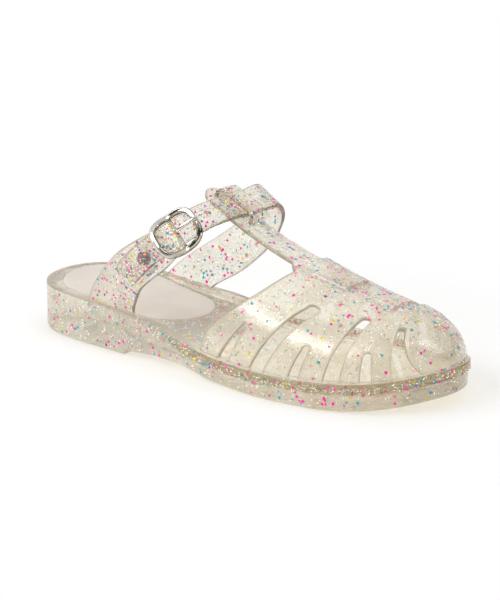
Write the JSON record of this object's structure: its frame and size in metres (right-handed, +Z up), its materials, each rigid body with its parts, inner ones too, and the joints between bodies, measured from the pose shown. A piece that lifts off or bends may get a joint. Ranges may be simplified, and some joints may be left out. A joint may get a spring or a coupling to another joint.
{
  "type": "fisherman mule",
  "caption": "Right-foot backless fisherman sandal in clear glittered soft plastic: wedge sole, caged vamp with woven spine and T-bar, instep strap with buckle.",
  "frame": {"origin": "on the floor under the middle of the sole", "axes": "+X from heel to toe along the sole, +Y to the medial (inner) side, +Z up from the floor"},
  "size_m": [0.2601, 0.0939, 0.0887],
  "materials": {
    "clear_plastic": "clear soft PVC with embedded coloured flakes, glossy",
    "insole": "matt pinkish white insole pad",
    "chrome": "polished",
    "dark_metal": "dark polished"
  },
  "bodies": {
    "root": {"sole": "clear_plastic", "upper": "clear_plastic", "instep_strap": "clear_plastic", "buckle_tab": "clear_plastic", "heel_pad": "insole", "buckle_frame": "chrome", "buckle_prong": "chrome", "rivet": "dark_metal"}
  },
  "joints": []
}
